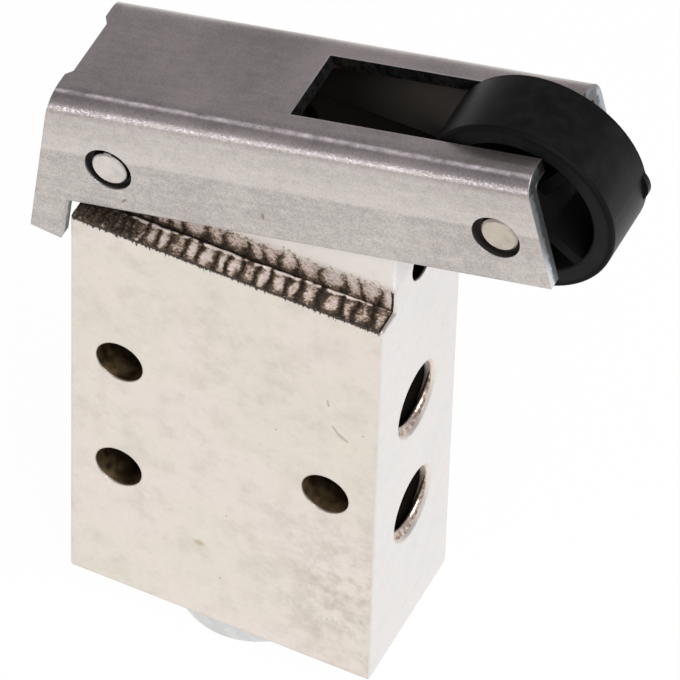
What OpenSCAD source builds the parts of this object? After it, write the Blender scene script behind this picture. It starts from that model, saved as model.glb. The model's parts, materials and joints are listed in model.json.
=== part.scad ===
// Roller lever air valve: a 3/2 poppet valve in a drilled block, worked by a sheet lever with a roller.
// Millimetres, +Z up, +X from the lever's pivot to its roller, mounting face at Y = 0.
// The origin is the middle of the mounting-hole pattern on the mounting face.

/* [Block] */
// Width of the block along the lever
block_w = 21.5; // [19.5:0.5:25]
// Depth of the block, mounting face to front face
block_d = 11.5; // [11:0.5:15]
// Height of the block from its bottom to the milled ledge
block_h = 33.4; // [32:0.2:38]
// Chamfer on the block's outer edges
edge_chamfer = 0.2; // [0.1:0.05:0.4]
// Thickness of the lug that stands between the ledges
lug_t = 8; // [7.6:0.2:9]
// Height of the lug's top above the pivot pin's axis
lug_over = 3.3; // [3:0.1:4]
// Height of the deeper cut along the foot of the lug
relief_h = 2; // [1:0.1:2.6]
// Depth of that cut into the lug
relief_depth = 0.12; // [0.05:0.01:0.2]

/* [Mounting holes] */
// Diameter of the three mounting holes
hole_d = 3.3; // [3:0.1:3.5]
// Distance between the two holes of the pair, upright
hole_pitch = 10; // [8:0.5:12]
// Distance from the pair to the single hole, along the block
hole_span = 14.5; // [14:0.1:15]
// Height of the pattern's middle above the block's bottom
hole_mid_z = 16.5; // [16:0.25:18]

/* [Ports] */
// Nominal thread diameter of the tapped ports
port_d = 5; // [4.6:0.1:5.2]
// Depth of the tapped ports
port_depth = 5; // [4:0.2:5.6]
// Diameter of the countersunk mouth of a port
port_mouth_d = 5.5; // [5.3:0.1:5.8]
// Distance between the two ports, upright
port_pitch = 10; // [9.5:0.1:10.5]
// Diameter of the drilling from a port to the bore
port_drill_d = 2.4; // [1.6:0.1:2.8]
// Diameter of the exhaust vent
vent_d = 3.2; // [2.4:0.1:3.4]
// Height of the vent's axis above the ledge
vent_rise = 1.4; // [1.2:0.1:1.8]

/* [Lever] */
// Thickness of the lever's sheet
sheet_t = 1; // [0.8:0.1:1.2]
// Outer radius of the lever's two bends
bend_r = 1.5; // [1.3:0.1:2]
// Distance of the pivot's axis from the block's end face
pivot_inset = 2.35; // [2.2:0.05:2.8]
// Height of the pivot's axis above the ledge
pivot_rise = 4.7; // [4.4:0.1:5.2]
// Upward tilt of the lever at rest
lever_tilt = 14.3; // [12:0.1:15]
// Gap between the lug's top and the lever's web with the lever level
web_gap = 0.9; // [0.7:0.1:1.4]
// Reach of the lever's flanges below the pivot's axis
flange_drop = 3.35; // [2.6:0.05:3.8]
// Reach of the lever's tail behind the pivot's axis
tail_l = 3.05; // [2.8:0.05:3.6]
// Width of the shallow recess in the edge of the tail, at its bottom
tail_recess_w = 4.7; // [3:0.1:6]
// Depth of that recess, whose sides slope at 45 degrees
tail_recess_depth = 0.4; // [0.2:0.05:0.8]
// Reach of the lever's nose past the roller pin's axis
nose_l = 2.8; // [2.4:0.05:4]
// Width of the two stop legs
leg_w = 2.15; // [1.6:0.05:2.5]
// Length of the stop legs along their rear edge, from the top of the web
leg_l = 12; // [10:0.1:13]
// Backward lean of the stop legs
leg_lean = 20; // [19.5:0.5:24]
// Distance from the roller's tread to the closed end of the lever's slot
slot_lead = 8; // [4:0.1:9]

/* [Roller] */
// Diameter of the roller over its tread
roller_d = 12.8; // [11:0.1:15]
// Width of the roller's rim
roller_w = 5; // [4:0.1:5.6]
// Thickness of the roller's rim
rim_t = 1.4; // [1:0.1:2]
// Rounding of the rim's edges
rim_round = 0.25; // [0.1:0.05:0.4]
// Diameter of the roller's hub
hub_d = 5; // [4.4:0.1:5.6]
// Number of spokes
spoke_count = 4; // [3:1:8]
// Thickness of a spoke, round the roller
spoke_t = 0.8; // [0.6:0.1:1.6]
// Angle of the first spoke from the lever's line at rest
spoke_turn = 41; // [0:1:90]
// Depth of the spokes' sides below the rim's sides
spoke_inset = 0.1; // [0:0.05:1]
// Length of the moulding gate's stub, round the tread
gate_l = 1.8; // [1:0.1:2.4]
// Width of that stub, along the axle
gate_w = 0.4; // [0.3:0.05:0.8]
// Height of the stub above the tread
gate_h = 0.3; // [0.1:0.02:0.4]
// Angle of the stub from the lever's line at rest
gate_turn = -8; // [-90:1:90]
// Height of the roller pin's axis above the pivot's line on the lever
roller_rise = 0.4; // [0:0.1:1]
// Gap between the roller's tread and the block's end with the lever level
roller_gap = 1.65; // [1:0.05:3]

/* [Pins] */
// Diameter of the pivot pin and the roller pin
pin_d = 2.5; // [2.2:0.1:2.8]
// Chamfer at the pins' ends
pin_chamfer = 0.15; // [0.05:0.05:0.3]
// Width of the open ring round each pin's end, in the lever's flange
pin_ring = 0.31; // [0.1:0.01:0.4]
// Depth of that ring
pin_ring_depth = 0.55; // [0.3:0.05:0.6]
// Offset of the pivot pin's ring from its pin, along and across the lever
pivot_ring_shift = [-0.07, -0.05]; // [-0.3:0.01:0.3]
// Offset of the roller pin's ring from its pin
roller_ring_shift = [-0.25, -0.2]; // [-0.3:0.01:0.3]

/* [End plug and supply side] */
// Diameter of the plug's threaded stem
plug_d = 8; // [7.8:0.1:8.4]
// Length of the plug's stem in the block
plug_l = 5; // [4.4:0.1:5.6]
// Thickness of the plug's head
plug_head_t = 2; // [1.5:0.1:3]
// Rim of the plug's head that covers its seal
plug_cover = 0.2; // [0.1:0.05:0.3]
// Width across the flats of the plug's hexagon socket
plug_key = 4; // [3:0.5:5]
// Depth of the hexagon socket
plug_key_depth = 2.2; // [1.5:0.1:2.6]
// Depth of the pocket that the poppet spring stands in
plug_pocket = 2; // [1:0.1:2.2]
// Thickness of the static seals
seal_t = 1; // [0.8:0.05:1]
// Diameter of the supply bore
bore_d = 7; // [6.8:0.1:7.4]
// Wall of the supply sleeve
sleeve_wall = 0.5; // [0.4:0.05:0.6]
// Diameter of the four holes in the supply sleeve
sleeve_hole_d = 3; // [2:0.1:3.4]

/* [Seat and poppet] */
// Length of the valve seat insert
seat_l = 3.5; // [3:0.1:3.8]
// Diameter of the hole in the valve seat
seat_hole_d = 3.5; // [3.2:0.1:3.6]
// Height of the seat's lip
lip_h = 0.5; // [0.3:0.05:0.6]
// Thickness of the lip at its edge
lip_t = 0.3; // [0.2:0.05:0.4]
// Diameter of the poppet
poppet_d = 5.4; // [5.2:0.05:5.6]
// Height of the poppet's head
poppet_h = 2.8; // [2.4:0.1:3.2]
// Diameter of the poppet's rubber disc
disc_d = 4.6; // [4.4:0.05:4.8]
// Thickness of the rubber disc
disc_t = 1.4; // [1:0.1:1.6]
// Part of the disc that stands out of the poppet
disc_proud = 0.45; // [0.3:0.05:0.6]
// Diameter of the poppet's spring guide
guide_d = 2.4; // [2:0.1:2.8]
// Length of the poppet's spring guide
guide_l = 2; // [1:0.1:2.4]
// Wire of the poppet spring
poppet_wire = 0.45; // [0.35:0.05:0.5]
// Mean diameter of the poppet spring
poppet_coil_d = 3.8; // [3.6:0.05:4]
// Turns of the poppet spring
poppet_turns = 8; // [6:1:9]

/* [Plunger] */
// Length of the outlet chamber, centred on the upper port
outlet_l = 5; // [4.4:0.1:5.4]
// Diameter of the outlet chamber
outlet_d = 6; // [5.6:0.1:6.4]
// Diameter of the land bore that the plunger's seal slides in
land_d = 4.4; // [4.2:0.1:4.8]
// Length of the land bore
land_l = 5; // [4.8:0.1:5.2]
// Diameter of the exhaust chamber
chamber_d = 5.6; // [5.2:0.1:5.8]
// Diameter of the plunger's stem and its domed end
stem_d = 3.2; // [3:0.1:3.3]
// Diameter of the plunger's tip
tip_d = 2.4; // [2.2:0.1:2.6]
// Diameter of the drilling in the plunger
tip_drill_d = 1.2; // [0.8:0.1:1.3]
// Opening between the plunger's tip and the disc at rest
exhaust_gap = 1.25; // [1.2:0.05:1.4]
// Length of the plunger's sealing land
plunger_land_l = 3.6; // [3:0.1:3.8]
// Thickness of the plunger's clip
clip_t = 0.6; // [0.4:0.05:0.8]
// Depth of the clip's groove
clip_groove = 0.4; // [0.3:0.05:0.5]
// Mouth of the open clip
clip_mouth = 2.1; // [1.8:0.1:2.2]
// Wire of the return spring
return_wire = 0.5; // [0.4:0.05:0.55]
// Mean diameter of the return spring
return_coil_d = 4.4; // [4.2:0.05:4.5]
// Turns of the return spring
return_turns = 6; // [5:1:7]

/* [Guide bush] */
// Diameter of the guide bush
bush_d = 6.2; // [6:0.1:6.4]
// Length of the guide bush
bush_l = 3; // [2.4:0.1:3.2]
// Thickness of the seal in the bush
wiper_t = 0.8; // [0.7:0.05:0.9]
// Thickness of the retaining ring
ring_t = 0.7; // [0.5:0.05:0.8]
// Radial width of the retaining ring
ring_w = 0.6; // [0.5:0.05:0.7]
// Depth of the ring's groove in the lug
ring_groove = 0.3; // [0.2:0.05:0.4]
// Depth of the ring's groove below the lug's top
ring_cover = 0.6; // [0.5:0.05:0.8]

/* [Clearances] */
// Gap round a pressed or clamped piece
fit_gap = 0.01; // [0.005:0.005:0.02]
// Radial gap of a turning or sliding fit
run_gap = 0.05; // [0.03:0.01:0.08]
// Gap left round the rubber seals
seal_gap = 0.02; // [0.01:0.005:0.03]
// Side gap between the lug and each of the lever's flanges
flange_gap = 0.1; // [0.08:0.01:0.2]
// Side gap between the roller's hub and each flange
hub_gap = 0.2; // [0.1:0.05:0.3]
// Side gap between the roller and its slot
slot_gap = 0.27; // [0.1:0.01:0.4]
// Gap between the lever and the plunger's dome at rest
contact_gap = 0.05; // [0.04:0.01:0.08]

/* [Hidden] */
$fn = 64;
// Overlap of a cutting shape past the face that it cuts
cut = 0.5;

// Block: end faces, pivot and lug
end_x = block_w / 2;
pivot_x = pivot_inset - end_x;
pivot_z = block_h + pivot_rise;
top_z = pivot_z + lug_over;
port_low_z = hole_mid_z - port_pitch / 2;
port_high_z = hole_mid_z + port_pitch / 2;
vent_z = block_h + vent_rise;

// Lever: values along (u) and across (v) the lever, from the pivot's axis
web_in = lug_over + web_gap;
web_out = web_in + sheet_t;
channel_w = lug_t + 2 * flange_gap;
lever_w = channel_w + 2 * sheet_t;
bend_in_r = bend_r - sheet_t;
axle_u = block_w - pivot_inset + roller_gap + roller_d / 2;
nose_u = axle_u + nose_l;
slot_w = roller_w + 2 * slot_gap;
spoke_w = roller_w - 2 * spoke_inset;
slot_u = axle_u - roller_d / 2 - slot_lead;
pin_hole_d = pin_d + 2 * run_gap;
pin_ring_d = pin_hole_d + 2 * pin_ring;
leg_back = [-sin(leg_lean), -cos(leg_lean)];
leg_across = [cos(leg_lean), -sin(leg_lean)];
leg_heel = [-tail_l, web_out] + leg_l * leg_back;
leg_toe = leg_heel + leg_w * leg_across;
leg_root = leg_toe - leg_back * ((-flange_drop - leg_toe[1]) / cos(leg_lean));

// Stack of the bore, bottom to top
shoulder_z = port_high_z - outlet_l / 2;
seat_z = shoulder_z - seat_l;
lip_z = seat_z - lip_h;
land_z = port_high_z + outlet_l / 2;
land_top_z = land_z + land_l;
ring_top_z = top_z - ring_cover;
ring_z = ring_top_z - ring_t;
bush_top_z = ring_z - fit_gap;
bush_z = bush_top_z - bush_l;

// Plug, poppet and seat
plug_seal_d = plug_d + 2 * seal_t;
plug_head_d = plug_seal_d + 2 * plug_cover;
pocket_z = plug_l - plug_pocket;
disc_top_z = lip_z - seal_gap;
disc_z = disc_top_z - disc_t;
poppet_top_z = disc_top_z - disc_proud;
poppet_z = poppet_top_z - poppet_h;
pocket_d = poppet_coil_d + poppet_wire + 8 * run_gap;

// Plunger: the dome touches the web's underside, contact_gap below it
stem_r = stem_d / 2;
dome_reach = web_in - stem_r - contact_gap - pivot_x * sin(lever_tilt);
dome_z = pivot_z + dome_reach / cos(lever_tilt);
tip_z = disc_top_z + exhaust_gap;
plunger_land_d = land_d - 2 * run_gap;
plunger_land_z = land_top_z - plunger_land_l;
plunger_seal_z = land_top_z - seal_t - run_gap;
plunger_seal_r = land_d / 2 - seal_gap - seal_t / 2;
clip_top_z = bush_z - run_gap;
clip_z = clip_top_z - clip_t;
clip_d = chamber_d - 8 * run_gap;
clip_root_d = stem_d - 2 * clip_groove;
exhaust_drill_z = (land_top_z + clip_z) / 2;

// Frame: the assembly is drawn from the block's bottom on the lever's mid-plane, then moved to the origin
module in_frame() translate([0, -block_d / 2, -hole_mid_z]) children();

// Frame of the lever, tilted at its pivot
module on_lever() translate([pivot_x, 0, pivot_z]) rotate([0, -lever_tilt, 0]) children();

// Upright cylinder on the bore's axis between two heights
module upright(d, z0, z1) translate([0, 0, z0]) cylinder(d = d, h = z1 - z0);

// Cylinder along Y, centred on the mid-plane
module across(d, l) rotate([90, 0, 0]) cylinder(d = d, h = l, center = true);

// Cylinder along X from x0 to x1
module endwise(d, x0, x1) translate([x0, 0, 0]) rotate([0, 90, 0]) cylinder(d = d, h = x1 - x0);

// Round seal of mean radius r and thickness t
module o_ring(r, t) rotate_extrude() translate([r, 0]) circle(d = t);

// Rectangle with chamfered corners, centred
module chamfered(w, h, c) {
    polygon([
        for (s = [[1, 1], [-1, 1], [-1, -1], [1, -1]])
        for (k = s[0] * s[1] > 0 ? [0, 1] : [1, 0])
        [s[0] * (w / 2 - (k == 1 ? c : 0)), s[1] * (h / 2 - (k == 0 ? c : 0))]
    ]);
}

// Box from z0 to z1 with all its edges chamfered
module chamfered_box(w, d, z0, z1, c) {
    h = z1 - z0;
    translate([0, 0, z0 + h / 2]) intersection() {
        linear_extrude(h, center = true) chamfered(w, d, c);
        rotate([90, 0, 0]) linear_extrude(d, center = true) chamfered(w, h, c);
        rotate([90, 0, 90]) linear_extrude(w, center = true) chamfered(d, h, c);
    }
}

// Height along a coil with closed ends, t in turns from 0 to n
function coil_rise(t, n, rise, wire) =
    let (dead = 1.04 * wire, lead = (rise - wire - 2 * dead) / (n - 2))
    t < 1 ? t * dead : t > n - 1 ? rise - wire - (n - t) * dead : dead + (t - 1) * lead;

// Coil spring from z0 to z1 with n turns of round wire
module coil(d, wire, n, z0, z1) {
    sides = 8;
    steps = 24;
    rings = n * steps;
    points = [
        for (i = [0:rings]) for (k = [0:sides - 1])
        let (
            a = 360 * i / steps,
            b = 360 * k / sides,
            r = d / 2 + wire / 2 * cos(b),
            z = z0 + wire / 2 + coil_rise(i / steps, n, z1 - z0, wire) + wire / 2 * sin(b)
        )
        [r * cos(a), r * sin(a), z]
    ];
    skin = [
        for (i = [0:rings - 1]) for (k = [0:sides - 1])
        let (q = (k + 1) % sides)
        [i * sides + k, i * sides + q, (i + 1) * sides + q, (i + 1) * sides + k]
    ];
    first = [for (k = [sides - 1:-1:0]) k];
    last = [for (k = [0:sides - 1]) rings * sides + k];
    polyhedron(points, concat([first], skin, [last]), convexity = 10);
}

// Block with its lug, holes, ports and stepped bore
module valve_body() color("#ddd6ca") in_frame() difference() {
    union() {
        chamfered_box(block_w, block_d, 0, block_h, edge_chamfer);
        chamfered_box(block_w, lug_t - 2 * relief_depth, block_h / 2, block_h + relief_h + cut, edge_chamfer);
        chamfered_box(block_w, lug_t, block_h + relief_h, top_z, edge_chamfer);
    }
    mounting_holes();
    for (z = [port_low_z, port_high_z]) translate([0, 0, z]) port();
    translate([0, 0, vent_z]) endwise(vent_d, chamber_d / 4, end_x + cut);
    translate([pivot_x, 0, pivot_z]) across(pin_d + 2 * fit_gap, lug_t + 2 * cut);
    bore();
}

// Pair of holes at the pivot's end and the single hole at the roller's end
module mounting_holes() {
    for (p = [[-1, 1], [-1, -1], [1, 0]])
        translate([p[0] * hole_span / 2, 0, hole_mid_z + p[1] * hole_pitch / 2]) across(hole_d, block_d + 2 * cut);
}

// Tapped port with its countersunk mouth and the drilling into the bore
module port() {
    sink = (port_mouth_d - port_d) / 2;
    endwise(port_d, end_x - port_depth, end_x + cut);
    endwise(port_drill_d, bore_d / 4, end_x);
    translate([end_x - sink, 0, 0]) rotate([0, 90, 0])
        cylinder(d1 = port_d, d2 = port_mouth_d + 2 * cut, h = sink + cut);
}

// Stepped bore through the block and the lug
module bore() {
    upright(plug_seal_d + 2 * seal_gap, -cut, seal_t);
    upright(plug_d + 2 * fit_gap, -cut, plug_l);
    upright(bore_d, -cut, shoulder_z);
    upright(outlet_d, 0, land_z);
    upright(land_d, 0, land_top_z);
    upright(chamber_d, land_top_z, top_z);
    upright(bush_d, bush_z, top_z + cut);
    upright(bush_d + 2 * ring_groove, ring_z - fit_gap, ring_top_z + fit_gap);
}

// Screwed plug with a hexagon socket outside and a spring pocket inside
module end_plug() color("#e4e6ea") in_frame() difference() {
    union() {
        rotate_extrude() polygon([
            [0, -plug_head_t], [plug_head_d / 2 - edge_chamfer, -plug_head_t],
            [plug_head_d / 2, edge_chamfer - plug_head_t], [plug_head_d / 2, -fit_gap], [0, -fit_gap]
        ]);
        upright(plug_d, -cut, plug_l - fit_gap);
    }
    translate([0, 0, -plug_head_t - cut])
        cylinder(d = plug_key / cos(30), h = plug_key_depth + cut, $fn = 6);
    upright(pocket_d, pocket_z, plug_l + cut);
}

// Ring under the plug's head
module end_plug_seal() color("#232323") in_frame()
    translate([0, 0, seal_t / 2]) o_ring((plug_d + seal_t) / 2, seal_t - 2 * seal_gap);

// Drilled sleeve between the plug and the valve seat
module supply_sleeve() color("#c9a452") in_frame() difference() {
    upright(bore_d - 2 * fit_gap, plug_l, seat_z - fit_gap);
    upright(bore_d - 2 * sleeve_wall, plug_l - cut, seat_z + cut);
    for (a = [0, 90]) translate([0, 0, port_low_z]) rotate(a) endwise(sleeve_hole_d, -bore_d, bore_d);
}

// Turned insert with the lip that the poppet closes on
module valve_seat() color("#c9a452") in_frame() difference() {
    union() {
        upright(bore_d - 2 * fit_gap, seat_z, shoulder_z - fit_gap);
        translate([0, 0, lip_z])
            cylinder(d1 = seat_hole_d + 2 * lip_t, d2 = seat_hole_d + 4 * lip_t, h = lip_h + fit_gap);
    }
    upright(seat_hole_d, lip_z - cut, shoulder_z + cut);
    difference() {
        upright(bore_d + cut, seat_groove_z() - seal_t / 2 - seal_gap, seat_groove_z() + seal_t / 2 + seal_gap);
        upright(bore_d - 2 * seal_t - 4 * seal_gap, seat_z, shoulder_z);
    }
}

// Middle height of the groove in the seat's outside
function seat_groove_z() = (seat_z + shoulder_z) / 2;

// Ring in the seat's groove
module valve_seat_seal() color("#232323") in_frame()
    translate([0, 0, seat_groove_z()]) o_ring((bore_d - seal_t) / 2 - seal_gap, seal_t - seal_gap);

// Turned carrier of the rubber disc, with a guide for its spring
module poppet() color("#c9a452") in_frame() difference() {
    union() {
        upright(poppet_d, poppet_z, poppet_top_z);
        upright(guide_d, poppet_z - guide_l, poppet_z + cut);
    }
    upright(disc_d + 2 * fit_gap, disc_z - fit_gap, disc_top_z + cut);
}

// Rubber disc in the poppet's face
module poppet_seal() color("#232323") in_frame() upright(disc_d, disc_z, disc_top_z);

// Spring between the plug's pocket and the poppet
module poppet_spring() color("#b8bcc2") in_frame()
    coil(poppet_coil_d, poppet_wire, poppet_turns, pocket_z + fit_gap, poppet_z - fit_gap);

// Hollow plunger with its tip, sealing land, clip groove and domed end
module plunger() color("#d8d4c8") in_frame() difference() {
    union() {
        upright(tip_d, tip_z, plunger_land_z + cut);
        upright(plunger_land_d, plunger_land_z, land_top_z - run_gap);
        upright(stem_d, land_top_z - cut, dome_z);
        translate([0, 0, dome_z]) sphere(d = stem_d);
    }
    upright(tip_drill_d, tip_z - cut, exhaust_drill_z);
    translate([0, 0, exhaust_drill_z]) endwise(tip_drill_d, -stem_d, stem_d);
    difference() {
        upright(land_d, plunger_seal_z - seal_t / 2 - seal_gap, plunger_seal_z + seal_t / 2 + seal_gap);
        upright(2 * plunger_seal_r - seal_t, tip_z, land_top_z);
    }
    difference() {
        upright(stem_d + cut, clip_z - fit_gap, clip_top_z + fit_gap);
        upright(clip_root_d, tip_z, top_z);
    }
}

// Ring on the plunger's land
module plunger_seal() color("#232323") in_frame()
    translate([0, 0, plunger_seal_z]) o_ring(plunger_seal_r, seal_t - 2 * seal_gap);

// Open clip on the plunger, which carries the return spring
module plunger_clip() color("#9a9da1") in_frame() difference() {
    upright(clip_d, clip_z, clip_top_z);
    upright(clip_root_d + 2 * fit_gap, clip_z - cut, clip_top_z + cut);
    translate([0, -clip_mouth / 2, clip_z - cut]) cube([clip_d, clip_mouth, clip_t + 2 * cut]);
}

// Spring between the land's shoulder and the plunger's clip
module return_spring() color("#b8bcc2") in_frame()
    coil(return_coil_d, return_wire, return_turns, land_top_z + fit_gap, clip_z - fit_gap);

// Bush that guides the plunger at the top of the lug
module guide_bush() color("#c9a452") in_frame() difference() {
    upright(bush_d - 2 * fit_gap, bush_z + fit_gap, bush_top_z);
    upright(stem_d + 2 * run_gap, bush_z - cut, bush_top_z + cut);
    upright(stem_d + 2 * wiper_t + 4 * seal_gap, wiper_z() - wiper_t / 2 - seal_gap, wiper_z() + wiper_t / 2 + seal_gap);
}

// Middle height of the groove in the bush
function wiper_z() = bush_z + bush_l / 2;

// Ring in the bush's groove
module guide_seal() color("#232323") in_frame()
    translate([0, 0, wiper_z()]) o_ring(stem_r + wiper_t / 2 + seal_gap, wiper_t - seal_gap);

// Open snap ring over the bush
module retaining_ring() color("#9a9da1") in_frame() difference() {
    upright(bush_d + 2 * ring_groove - 2 * run_gap, ring_z, ring_top_z);
    upright(bush_d + 2 * ring_groove - 2 * run_gap - 2 * ring_w, ring_z - cut, ring_top_z + cut);
    translate([0, -ring_w, ring_z - cut]) cube([bush_d, 2 * ring_w, ring_t + 2 * cut]);
}

// Plain pin of length l with chamfered ends, along Y
module pin(l) rotate([90, 0, 0]) rotate_extrude() polygon([
    [0, -l / 2], [pin_d / 2 - pin_chamfer, -l / 2], [pin_d / 2, pin_chamfer - l / 2],
    [pin_d / 2, l / 2 - pin_chamfer], [pin_d / 2 - pin_chamfer, l / 2], [0, l / 2]
]);

// Pin through the lug that the lever turns on
module pivot_pin() color("#cfcfcb") in_frame() translate([pivot_x, 0, pivot_z]) pin(lever_w);

// Pin through the lever that the roller turns on
module roller_pin() color("#cfcfcb") in_frame() on_lever() translate([axle_u, 0, roller_rise]) pin(lever_w);

// Cross-section of the bent sheet: a channel open downwards with round bends
module channel_side(w, top, r) {
    low = -2 * leg_l;
    translate([-w / 2, low]) square([w, top - r - low]);
    translate([r - w / 2, low]) square([w - 2 * r, top - low]);
    for (s = [-1, 1]) translate([s * (w / 2 - r), top - r]) circle(r = r);
}

// Side outline of the lever with its stop legs
module lever_side() polygon([
    [-tail_l, web_out + cut], [-tail_l, web_out], leg_heel, leg_toe, leg_root,
    [nose_u, -flange_drop], [nose_u, web_out + cut]
]);

// Hole for a pin through both flanges, wider outside so that an open ring shows round the pin's end
module flange_hole(shift) {
    across(pin_hole_d, lever_w + 2 * cut);
    for (s = [-1, 1])
        translate([shift[0], s * lever_w / 2, shift[1]]) across(pin_ring_d, 2 * pin_ring_depth);
}

// Cutter for the recess in the tail's edge, wider towards the edge
module tail_recess() {
    depth = tail_recess_depth;
    half = tail_recess_w / 2;
    translate([-tail_l, 0, 0]) linear_extrude(web_out + cut) polygon([
        [depth, -half], [depth, half], [-cut, half + depth + cut], [-cut, -half - depth - cut]
    ]);
}

// Bent sheet channel with an open slot for the roller
module lever() color("#8d888b") in_frame() on_lever() difference() {
    intersection() {
        rotate([90, 0, 90]) linear_extrude(4 * nose_u, center = true) difference() {
            channel_side(lever_w, web_out, bend_r);
            channel_side(channel_w, web_in, bend_in_r);
        }
        rotate([90, 0, 0]) linear_extrude(2 * lever_w, center = true) lever_side();
    }
    translate([slot_u, -slot_w / 2, 0]) cube([nose_u, slot_w, web_out + cut]);
    tail_recess();
    flange_hole(pivot_ring_shift);
    translate([axle_u, 0, roller_rise]) flange_hole(roller_ring_shift);
}

// Section of the roller's rim with rounded edges
module rim_section() {
    inner = roller_d / 2 - rim_t;
    translate([inner, -roller_w / 2 + rim_round]) square([rim_t, roller_w - 2 * rim_round]);
    translate([inner + rim_round, -roller_w / 2]) square([rim_t - 2 * rim_round, roller_w]);
    for (x = [inner + rim_round, roller_d / 2 - rim_round])
    for (y = [-1, 1])
        translate([x, y * (roller_w / 2 - rim_round)]) circle(r = rim_round);
}

// Stub of the moulding gate at the rear edge of the tread, a segment of a small cylinder
module gate_stub() {
    gate_r = (gate_l * gate_l / 4 + gate_h * gate_h) / (2 * gate_h);
    intersection() {
        translate([roller_d / 2 + gate_h - gate_r, 0, rim_round - roller_w / 2]) cylinder(r = gate_r, h = gate_w);
        translate([roller_d / 2 - rim_t / 2, -gate_l, -roller_w / 2]) cube([rim_t, 2 * gate_l, roller_w]);
    }
}

// Moulded roller with a rim, spokes and a hub as wide as the lever's channel
module roller() color("#262628") in_frame() on_lever() translate([axle_u, 0, roller_rise])
    rotate([90, 0, 0]) difference() {
        union() {
            rotate_extrude() rim_section();
            cylinder(d = hub_d, h = channel_w - 2 * hub_gap, center = true);
            for (i = [0:spoke_count - 1]) rotate(spoke_turn + 360 * i / spoke_count)
                translate([0, -spoke_t / 2, -spoke_w / 2]) cube([roller_d / 2 - rim_t / 2, spoke_t, spoke_w]);
            rotate(gate_turn) gate_stub();
        }
        cylinder(d = pin_d + 2 * run_gap, h = lever_w, center = true);
    }

valve_body();
end_plug();
end_plug_seal();
supply_sleeve();
valve_seat();
valve_seat_seal();
poppet();
poppet_seal();
poppet_spring();
plunger();
plunger_seal();
plunger_clip();
return_spring();
guide_bush();
guide_seal();
retaining_ring();
pivot_pin();
lever();
roller_pin();
roller();
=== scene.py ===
import json
from functools import reduce

import bpy
import numpy as np
from mathutils import Matrix, Vector


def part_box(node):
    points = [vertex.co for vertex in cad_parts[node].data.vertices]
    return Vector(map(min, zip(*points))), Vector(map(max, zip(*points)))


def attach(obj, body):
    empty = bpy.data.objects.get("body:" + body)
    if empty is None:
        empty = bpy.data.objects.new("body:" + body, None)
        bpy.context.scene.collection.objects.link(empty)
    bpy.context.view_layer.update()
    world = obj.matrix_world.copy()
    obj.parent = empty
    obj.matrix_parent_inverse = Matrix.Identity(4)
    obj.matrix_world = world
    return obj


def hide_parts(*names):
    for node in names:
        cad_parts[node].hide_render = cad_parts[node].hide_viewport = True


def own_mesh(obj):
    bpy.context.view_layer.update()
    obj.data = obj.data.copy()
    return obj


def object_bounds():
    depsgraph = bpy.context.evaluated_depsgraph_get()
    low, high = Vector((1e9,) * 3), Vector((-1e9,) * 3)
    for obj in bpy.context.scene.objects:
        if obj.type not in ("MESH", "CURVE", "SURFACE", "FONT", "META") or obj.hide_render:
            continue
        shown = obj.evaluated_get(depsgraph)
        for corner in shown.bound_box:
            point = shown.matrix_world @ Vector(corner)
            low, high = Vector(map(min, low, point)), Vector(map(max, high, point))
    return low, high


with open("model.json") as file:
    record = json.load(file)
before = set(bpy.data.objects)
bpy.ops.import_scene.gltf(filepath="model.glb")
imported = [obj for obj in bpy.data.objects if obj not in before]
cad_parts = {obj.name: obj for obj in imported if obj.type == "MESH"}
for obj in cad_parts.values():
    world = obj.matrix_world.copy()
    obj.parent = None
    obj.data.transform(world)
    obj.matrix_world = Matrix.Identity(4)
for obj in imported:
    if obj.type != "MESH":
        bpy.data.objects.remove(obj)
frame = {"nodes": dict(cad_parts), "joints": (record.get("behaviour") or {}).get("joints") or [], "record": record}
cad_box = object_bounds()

# Block. It is sawn from drawn bar, drilled from three sides and dull nickel plated, so its faces are warm,
# a little mottled and pitted. Its drillings and the lug's top under the lever carry painted shade, the
# ports' mouths a painted highlight, and the lug's sides are painted paler as painted light.
# It carries every other piece and is screwed down through its three cross holes.
mm = 0.001
block_low, block_high = (np.array(corner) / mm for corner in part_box("valve_body"))
mid_y = (block_low[1] + block_high[1]) / 2
block_half = block_high[1] - mid_y
mounts = {mount["name"]: mount for mount in frame["record"]["mounts"]}
pair_spread = mounts["mounting_pair"]["dims"]["spacing_y_mm"] / 2
pair_x = mounts["mounting_pair"]["pos_m"][0] / mm
single_x = mounts["mounting_single"]["pos_m"][0] / mm
cross_holes = [(pair_x, pair_spread), (pair_x, -pair_spread), (single_x, 0)]
cross_r = mounts["mounting_single"]["dims"]["r_mm"]
port_r = mounts["supply_port"]["dims"]["r_mm"]
port_places = [mounts[name]["pos_m"][2] / mm for name in ("supply_port", "outlet_port")]
ledge_z = 16.9
edge_w = 0.2
vent_r, vent_z = 1.6, ledge_z + 1.4
mouth_l, vent_mouth_l = 0.6, 0.05
bush_bore_r = 3.6
end_holes = [(port_z, port_r, mouth_l) for port_z in port_places] + [(vent_z, vent_r, vent_mouth_l)]
wall_slack = 1.006
stain_x, stain_z, stain_r, stain_squash = 9.0, -10.0, 9.0, 0.62
rust_x, rust_z, rust_r, rust_squash = -1.47, -9.33, 0.62, 1.6
scratches = [((7.64, 6.62), (8.02, 6.12), 0.13), ((8.02, 6.12), (8.6, 5.75), 0.19),
             ((7.2, 8.85), (7.3, 8.4), 0.11)]


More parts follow.
